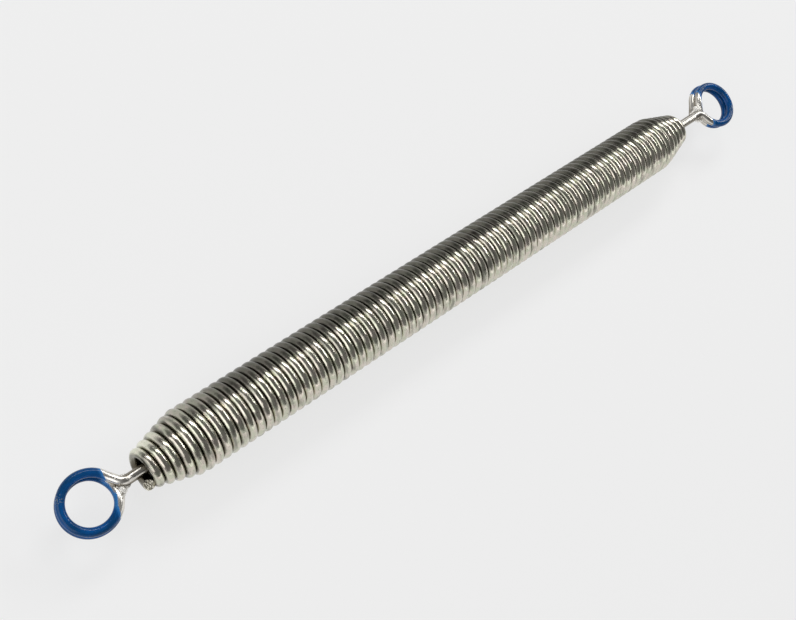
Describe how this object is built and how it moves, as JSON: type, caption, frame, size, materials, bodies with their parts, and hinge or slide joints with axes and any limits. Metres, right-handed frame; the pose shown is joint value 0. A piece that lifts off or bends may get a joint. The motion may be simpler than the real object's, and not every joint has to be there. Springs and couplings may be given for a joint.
{
  "type": "extension spring with loose double-loop ends",
  "caption": "Close-wound extension spring with coned ends, each holding a loose blue-dipped double-turn wire eye that swivels in it.",
  "frame": {"origin": "centre of the near eye's hole, midway between its two turns", "axes": "+X along the spring to the far eye, +Z through both eyes' holes"},
  "size_m": [0.6147, 0.0428, 0.0428],
  "materials": {
    "coil_steel": "bright drawn wire",
    "eye_steel": "blue dip on the loops, bare wire legs"
  },
  "bodies": {
    "near_loop": {"near_eye": "eye_steel"},
    "coil": {"spring_coil": "coil_steel"},
    "far_loop": {"far_eye": "eye_steel"}
  },
  "joints": [
    {"name": "near_swivel", "type": "hinge", "parent": "near_loop", "child": "coil", "pos_m": [0.03316, 0, 0], "axis": [1, 0, 0], "continuous": true},
    {"name": "far_swivel", "type": "hinge", "parent": "coil", "child": "far_loop", "pos_m": [0.52767, 0, 0], "axis": [1, 0, 0], "continuous": true}
  ]
}
